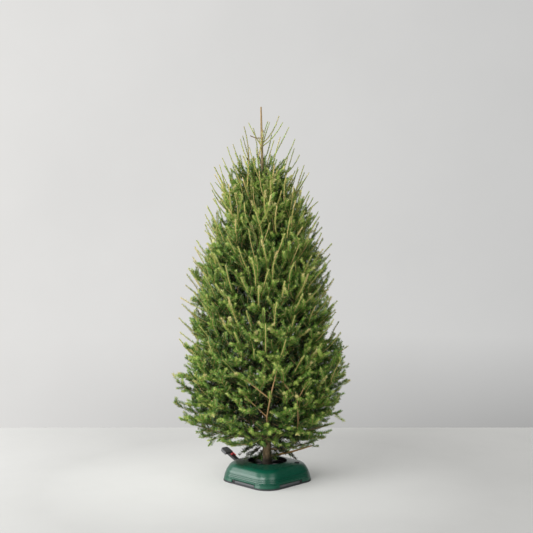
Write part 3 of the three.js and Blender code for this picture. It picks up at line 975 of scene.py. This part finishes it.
# %% Limbs
def loft(bm, rings):
    """Skins a row of rings, each a list of as many points, and closes both ends."""
    ring = bmesh.ops.create_circle(bm, cap_ends=True, radius=1, segments=len(rings[0]))["verts"]
    edges = list({e for v in ring for e in v.link_edges})
    for i, spots in enumerate(rings):
        if i:
            order = {tuple(v.co): k for k, v in enumerate(ring)}
            made = bmesh.ops.extrude_edge_only(bm, edges=edges)["geom"]
            ring = sorted((g for g in made if isinstance(g, bmesh.types.BMVert)), key=lambda v: order[tuple(v.co)])
            edges = [e for e in {e for v in ring for e in v.link_edges} if all(v in ring for v in e.verts)]
        for vertex, spot in zip(ring, spots):
            vertex.co = spot
    bmesh.ops.contextual_create(bm, geom=edges)


def limb(bm, centres, radii, sides, relief=0.0):
    """A tapered round limb along a path of centres, its skin pushed in and out by a share of its radius."""
    circle = [(math.cos(2 * math.pi * k / sides), math.sin(2 * math.pi * k / sides), 0) for k in range(sides)]
    rings = []
    for i, (centre, radius) in enumerate(zip(centres, radii)):
        before, after = centres[max(i - 1, 0)], centres[min(i + 1, len(centres) - 1)]
        turn = (after - before).to_track_quat("Z", "X")
        rings.append([centre + turn @ (Vector(c) * radius * (1 + relief * rng.normal())) for c in circle])
    loft(bm, rings)


def finish_mesh(bm, name, material, sharp_degrees=35, place=None):
    """Turns a bmesh into a smooth-shaded object whose sharp corners stay sharp."""
    if place:
        bmesh.ops.transform(bm, matrix=place, verts=bm.verts)
    bmesh.ops.recalc_face_normals(bm, faces=bm.faces)
    mesh = bpy.data.meshes.new(name)
    bm.to_mesh(mesh)
    bm.free()
    mesh.polygons.foreach_set("use_smooth", [True] * len(mesh.polygons))
    mesh.set_sharp_from_angle(angle=math.radians(sharp_degrees))
    print(name, len(mesh.polygons), "faces")
    return link_object(name, mesh, material)


# %% Trunk and boughs
TRUNK_RINGS = 150
trunk_heights = np.linspace(ring_heights[0], TREE_TOP, TRUNK_RINGS)
bm = bmesh.new()
limb(bm, [trunk_middle(z) for z in trunk_heights], [trunk_radius(z) for z in trunk_heights], 28, relief=0.03)
trunk = finish_mesh(bm, "trunk_bark", bark, 60)

bm = bmesh.new()
for path, radii in boughs:
    limb(bm, path, radii, 7, relief=0.05)
bough_piece = finish_mesh(bm, "boughs", bark, 60)

bm = bmesh.new()
for path, radii in open_boughs:
    limb(bm, path, radii, 7, relief=0.04)
open_piece = finish_mesh(bm, "open_boughs", bough_skin, 60)

# %% [markdown]
# ## The stand's shell
#
# The stand is one hollow moulding. Its plan is a square with large round corners, its walls lean in to a rounded
# shoulder, and the deck rises to the round rim of the water bowl. So it is lofted from rings: each has a height, a
# half side and a corner radius, and the deck's rings turn from square to round. Four fine grooves run round the
# wall. The recesses for the feet and the slot for the pedal are cut with a Boolean modifier that is applied at once.
# The stand is built square to X and Y, and then turned an eighth, so that a corner faces the front.

# %% Shell
TURNED = Matrix.Rotation(math.radians(45), 4, "Z")
HALF_SIDE = 194
SHELL_SIDES = 128
WALL = ((8, 194, 92), (34, 190, 91), (62, 181, 88), (84, 169, 84), (91, 162.5, 83), (95, 157, 82))
GROOVES = (27, 35, 43, 51)
DECK_EDGE, RIM_TOP, RIM_OUT = 95, 105, 113
BOWL = ((106, 110), (106.2, 108.5), (105, 107.2), (101, 107), (60, 104), (24, 99), (18, 94))


def square_reach(angle, half, corner):
    """How far a square with round corners reaches at an angle."""
    off = abs((angle + math.pi / 4) % (math.pi / 2) - math.pi / 4)
    if math.tan(off) <= (half - corner) / half:
        return half / math.cos(off)
    middle = (half - corner) * math.sqrt(2)
    turn = off - math.pi / 4
    return middle * math.cos(turn) + math.sqrt(corner**2 - (middle * math.sin(turn)) ** 2)


def plan_ring(z, half, corner, roundness=0.0, radius=0.0, sides=SHELL_SIDES):
    """One ring of the stand in metres, from millimetres, part of the way from square to round."""
    ring = []
    for k in range(sides):
        angle = 2 * math.pi * k / sides
        reach = square_reach(angle, half, corner) * (1 - roundness) + radius * roundness
        ring.append(Vector((math.cos(angle) * reach, math.sin(angle) * reach, z)) * MM)
    return ring


def wall_ring(z, inset=0.0):
    """A ring of the leaning wall at a height."""
    heights, halves, corners = zip(*WALL)
    return plan_ring(z, ramp(z, heights, halves) - inset, ramp(z, heights, corners))


rings = [wall_ring(8, 1.5), wall_ring(9.5)]
for z in GROOVES:
    rings += [wall_ring(z - 3), wall_ring(z - 1.3, 2.2), wall_ring(z + 1.3, 2.2), wall_ring(z + 3)]
rings += [wall_ring(z) for z in (57, 62, 67, 72, 77, 81, 85, 88, 91, 93.4, 95)]
for share in (0.03, 0.25, 0.5, 0.75, 0.95, 1.0):
    rings.append(plan_ring(DECK_EDGE + (RIM_TOP - DECK_EDGE) * share**0.85, 157, 82, share, RIM_OUT))
rings += [plan_ring(z, 1, 1, 1.0, radius) for z, radius in BOWL]
bm = bmesh.new()
loft(bm, rings)
shell = finish_mesh(bm, "shell", green_shell, 32, TURNED)

# %% [markdown]
# ## Recesses and pedal slot
#
# In each wall there is a low recess for a strip foot, and the back left wall has a slot for the pedal. They could be
# modelled into the rings, but they cut across the rounded wall, which only a Boolean does cleanly. So five blocks
# are joined into one cutter, which is taken away again afterwards. Inside, the bowl is painted near black and dull:
# painted shade for the shadow that fills it.

# %% Recesses and pedal slot
STRIP_BACK = 174  # how far out the back of a recess is
RECESS_FAR, RECESS_NEAR = -72, 98
SLOT_HALF = 18
SLOT_FROM = 152
BOWL_INSIDE = 107.5 * MM
BOWL_FLOOR = 17 * MM


def round_edges(bm, edges, size, segments, **more):
    """Rounds edges off, by a size in millimetres."""
    return bmesh.ops.bevel(
        bm, geom=edges, offset=size * MM, segments=segments, profile=0.5, affect="EDGES", material=-1, **more
    )


def block(bm, low, high, rounding=0.0):
    """A block between two corners, with rounded edges, all in millimetres."""
    low, high = Vector(low) * MM, Vector(high) * MM
    verts = bmesh.ops.create_cube(bm, size=1)["verts"]
    bmesh.ops.scale(bm, vec=high - low, verts=verts)
    bmesh.ops.translate(bm, vec=(high + low) / 2, verts=verts)
    if rounding:
        made = round_edges(bm, list({e for v in verts for e in v.link_edges}), rounding, 3)
        verts = list({v for f in made["faces"] for v in f.verts})
    return verts


def turn_quarters(bm, verts, quarters):
    """Turns part of a mesh about the stand's middle by quarter turns."""
    bmesh.ops.rotate(bm, cent=(0, 0, 0), matrix=Matrix.Rotation(quarters * math.pi / 2, 3, "Z"), verts=verts)


def four_walls(bm, low, high, rounding=0.0):
    """The same block against each of the four walls, mirrored from each wall to the next."""
    (x0, y0, z0), (x1, y1, z1) = low, high
    for quarter in range(4):
        near, far = (-y1, -y0) if quarter % 2 else (y0, y1)
        turn_quarters(bm, block(bm, (x0, near, z0), (x1, far, z1), rounding), quarter)


bm = bmesh.new()
four_walls(bm, (STRIP_BACK, RECESS_FAR, 4), (HALF_SIDE + 10, RECESS_NEAR, 23))
block(bm, (-SLOT_HALF, SLOT_FROM, 22), (SLOT_HALF, HALF_SIDE + 20, 125))
cutter = finish_mesh(bm, "cutter", green_shell, 35, TURNED)
cut = shell.modifiers.new("recesses", "BOOLEAN")
cut.operation = "DIFFERENCE"
cut.object = cutter
cut.use_self = True  # the pedal slot runs into one recess
cut_mesh = bpy.data.meshes.new_from_object(shell.evaluated_get(bpy.context.evaluated_depsgraph_get()))
shell.modifiers.clear()
shell.data = cut_mesh
# Painted shade: faces inside the bowl, above its floor, take the near-black finish.
cut_mesh.materials.append(painted_shade_bowl)
for face in cut_mesh.polygons:
    if math.hypot(*face.center.xy) < BOWL_INSIDE and face.center.z > BOWL_FLOOR:
        face.material_index = 1
bpy.data.objects.remove(cutter)
print("shell", len(shell.data.polygons), "faces after cutting")

# %% [markdown]
# ## Rubber base and feet
#
# A black rubber mat rims the underside. In every wall's recess lies a strip foot, with a black catch at one end.

# %% Base, strips and catches
BASE = ((0, 193.4, 91.5), (1.2, 195, 93), (6.6, 195, 93), (7.7, 194, 92))
STRIP_FACE = HALF_SIDE - 1.5
bm = bmesh.new()
loft(bm, [plan_ring(z, half, corner, sides=96) for z, half, corner in BASE])
base = finish_mesh(bm, "base_mat", black_rubber, 50, TURNED)
bm = bmesh.new()
four_walls(bm, (STRIP_FACE - 16, -52, 8), (STRIP_FACE, 96, 20), 2)
strips = finish_mesh(bm, "foot_strips", strip_finish, 50, TURNED)
bm = bmesh.new()
four_walls(bm, (STRIP_FACE - 18, -71.6, 8), (STRIP_FACE - 1, -54, 22.6), 1.5)
catches = finish_mesh(bm, "foot_catches", black_plastic, 50, TURNED)

# %% [markdown]
# ## The clamp
#
# Inside the bowl a ring carries four claws, which the pedal's cable swings against the trunk. Each claw is a flat
# hooked casting: a side profile, extruded to its width and rounded along every edge.

# %% Ring and claws
HOOP_PROFILE = ((95, 62), (103, 62), (103.4, 75), (103.4, 88), (95, 88))
CLAW_BACK = ((93.5, 58), (93.5, 84), (74, 97), (46, 95), (20, 84))
CLAW_PROFILE = (*CLAW_BACK, (20, 62), (34, 60), (48, 74), (72, 72), (80, 58))
CLAW_WIDTH = 20
bm = bmesh.new()
corners = [bm.verts.new(Vector((r, 0, z)) * MM) for r, z in HOOP_PROFILE]
hoop = bmesh.ops.contextual_create(bm, geom=corners)["faces"]
hoop_edges = [e for f in hoop for e in f.edges]
bmesh.ops.delete(bm, geom=hoop, context="FACES_ONLY")
bmesh.ops.spin(
    bm, geom=corners + hoop_edges, axis=(0, 0, 1), cent=(0, 0, 0), angle=2 * math.pi, steps=72, use_merge=True
)
bmesh.ops.remove_doubles(bm, verts=bm.verts, dist=1e-5)
ring_piece = finish_mesh(bm, "clamp_hoop", black_plastic)


def plate(bm, outline, pull):
    """A flat plate: an outline, filled and pulled along a vector, all in millimetres."""
    near = [bm.verts.new(Vector(corner) * MM) for corner in outline]
    face = bmesh.ops.contextual_create(bm, geom=near)["faces"]
    made = bmesh.ops.extrude_face_region(bm, geom=face)["geom"]
    far = [g for g in made if isinstance(g, bmesh.types.BMVert)]
    bmesh.ops.translate(bm, vec=Vector(pull) * MM, verts=far)
    return near + far


bm = bmesh.new()
for quarter in range(4):
    claw = plate(bm, [(r, -CLAW_WIDTH / 2, z) for r, z in CLAW_PROFILE], (0, CLAW_WIDTH, 0))
    turn_quarters(bm, claw, quarter)
round_edges(bm, list(bm.edges), 2, 3, clamp_overlap=True)
claws = finish_mesh(bm, "clamp_claws", black_plastic, 50, TURNED)

# %% [markdown]
# ## The water gauge
#
# On the right corner of the deck sits a small black float gauge: a bar with a stem, half sunk in the deck.

# %% Gauge
GAUGE_SPOT = Matrix.Translation((92 * MM, -134 * MM, 0)) @ Matrix.Rotation(math.radians(-45), 4, "Z")
bm = bmesh.new()
block(bm, (-13, -4.5, 91.5), (13, 4.5, 104), 1.8)
block(bm, (-4, -11, 91.5), (4, 2, 100), 1.5)
gauge = finish_mesh(bm, "water_gauge", black_plastic, 50, TURNED @ GAUGE_SPOT)

# %% [markdown]
# ## The foot pedal
#
# The pedal is a black lever on a cross pin low in the shell's wall, with a broad tread at its end, and a red button
# and slide that lock it. All four parts are modelled along X from the pin, turned to their place and tilt, and move
# with the lever's body.

# %% Lever
PIVOT = Vector((-118.794, 118.794, 36)) * MM
LEVER_TILT = -24
LEVER_END = 150
LEVER_HALF = 14
PEDAL_PLACE = Matrix.Translation(PIVOT) @ Matrix.Rotation(math.radians(135), 4, "Z")
PEDAL_PLACE = PEDAL_PLACE @ Matrix.Rotation(math.radians(LEVER_TILT), 4, "Y")


def barrel(bm, radius, half_length):
    """A round pin across the pedal, along Y, in millimetres."""
    verts = bmesh.ops.create_cone(
        bm, cap_ends=True, segments=24, radius1=radius * MM, radius2=radius * MM, depth=2 * half_length * MM
    )["verts"]
    bmesh.ops.rotate(bm, cent=(0, 0, 0), matrix=Matrix.Rotation(math.pi / 2, 3, "X"), verts=verts)


bm = bmesh.new()
barrel(bm, 9, LEVER_HALF)
barrel(bm, 4, 23)
block(bm, (0, -LEVER_HALF, -7), (LEVER_END, LEVER_HALF, 4.5), 2)
for inner, outer in ((-LEVER_HALF, -10.5), (10.5, LEVER_HALF)):
    block(bm, (12, inner, 2), (LEVER_END - 2, outer, 7), 1.2)
for start in range(24, 91, 22):
    block(bm, (start, -11, 3), (start + 3, 11, 6.4), 1)
lever = finish_mesh(bm, "lever", black_plastic, 50, PEDAL_PLACE)

# %% [markdown]
# ## The tread
#
# The foot presses on a broad plate with two round corners, covered in worn grey rubber with five ribs. Its outline is
# drawn flat, pulled up to its thickness and rounded at both rims, which keeps the corners' arcs true.

# %% Tread
TREAD_CORNER = 17
TREAD_START, TREAD_END = 150.3, 200.3
TREAD_LEFT, TREAD_RIGHT = 28, -26
TREAD_HALF = 8.5
outline = [(TREAD_START, TREAD_RIGHT), (TREAD_START, TREAD_LEFT)]
for middle, first in ((TREAD_LEFT - TREAD_CORNER, 90), (TREAD_RIGHT + TREAD_CORNER, 0)):
    for turn in range(first, first - 91, -15):
        a = math.radians(turn)
        outline.append((TREAD_END - TREAD_CORNER * (1 - math.cos(a)), middle + TREAD_CORNER * math.sin(a)))
bm = bmesh.new()
plate(bm, [(x, y, -TREAD_HALF) for x, y in outline], (0, 0, 2 * TREAD_HALF))
rims = [e for e in bm.edges if abs(e.verts[0].co.z - e.verts[1].co.z) < 1e-6]
round_edges(bm, rims, 3.5, 4)
for start in range(158, 191, 8):
    block(bm, (start, -20, 7.5), (start + 3, 22, 9.4), 0.8)
tread = finish_mesh(bm, "tread", tread_finish, 50, PEDAL_PLACE)

# %% [markdown]
# ## The lock
#
# A low red button on the lever and a red slide beside it lock the pedal. The button is a short cone, rounded on top.
# The slide is a rounded block.

# %% Lock
bm = bmesh.new()
dome = bmesh.ops.create_cone(bm, cap_ends=True, segments=32, radius1=7 * MM, radius2=6.4 * MM, depth=5 * MM)["verts"]
bmesh.ops.translate(bm, vec=(126 * MM, 2 * MM, 9.6 * MM), verts=dome)
top = [e for e in bm.edges if min(v.co.z for v in e.verts) > 12 * MM]
round_edges(bm, top, 1.6, 4)
button = finish_mesh(bm, "lock_knob", red_plastic, 50, PEDAL_PLACE)
bm = bmesh.new()
block(bm, (112, -17.4, -3), (142, -14.3, 11), 1)
slide = finish_mesh(bm, "lock_slider", red_plastic, 50, PEDAL_PLACE)

# %% [markdown]
# ## Fallen needles
#
# A cut tree drops needles. Some lie on the back and left of the stand's deck, laid down by rays from above.

# %% Fallen needles
FALLEN = 1600
FALLEN_TURN, FALLEN_SPREAD = 160, 36  # degrees round the deck
FALLEN_LENGTH = 0.012
LOWEST_DECK = 0.09
deck = BVHTree.FromObject(shell, bpy.context.evaluated_depsgraph_get())
fallen = []
turns = rng.normal(FALLEN_TURN, FALLEN_SPREAD, FALLEN)
for turn, reach in zip(turns, rng.uniform(110 * MM, 172 * MM, FALLEN)):
    a = math.radians(turn)
    spot, normal, _, _ = deck.ray_cast(Vector((math.cos(a) * reach, math.sin(a) * reach, 0.2)), -UP)
    if spot and spot.z > LOWEST_DECK:
        heading = Vector((rng.normal(), rng.normal(), rng.uniform(0, 0.5))).normalized()
        heading = heading.cross(normal).normalized()
        start = spot + normal * MM * rng.uniform(1, 6)
        half = heading.cross(normal).normalized() * NEEDLE_HALF_WIDTH * 0.7
        end = start + heading * FALLEN_LENGTH
        fallen.append([start, start.lerp(end, 0.45) - half, end, start.lerp(end, 0.45) + half])
print(len(fallen), "fallen needles")
needle_pieces.append(needle_piece("fallen_needles", np.array(fallen), "deep"))


# %% [markdown]
# ## What each piece stands for
#
# The model's plain solids are hidden where a finer piece takes their place. Each piece also gets a body, because the
# pedal's parts move with the lever. All the needles together stand for the foliage masses.

# %% Say what each piece stands for
handed_over = []


def stands_for(piece, body, slot, *nodes):
    """Hands a piece to a body, and hides the nodes that it stands for. The slot is not used."""
    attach(piece, body)
    if nodes:
        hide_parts(*nodes)
    handed_over.append(piece.name)


stands_for(trunk, "tree", "bark", "trunk")
stands_for(bough_piece, "tree", "bark", *named("bough_"))
stands_for(open_piece, "tree", "bark", "bough_bare")
for piece in needle_pieces:
    stands_for(piece, "tree", "foliage", *MASSES)
for piece in twig_pieces:
    stands_for(piece, "tree", "bark")
stands_for(shell, "tree", "stand_green", "stand_shell")
stands_for(base, "tree", "foot_rubber", "stand_base")
stands_for(strips, "tree", "foot_rubber", *named("foot_strip"))
stands_for(catches, "tree", "stand_black")
stands_for(ring_piece, "tree", "stand_black", "clamp_ring")
stands_for(claws, "tree", "stand_black", *named("clamp_claw"))
stands_for(gauge, "tree", "stand_black", "stand_gauge")
stands_for(lever, "pedal", "stand_black", "pedal_lever")
stands_for(tread, "pedal", "stand_black", "pedal_plate")
stands_for(button, "pedal", "lock_red", "lock_button")
stands_for(slide, "pedal", "lock_red", "lock_slide")

print(len(handed_over), "pieces handed over")
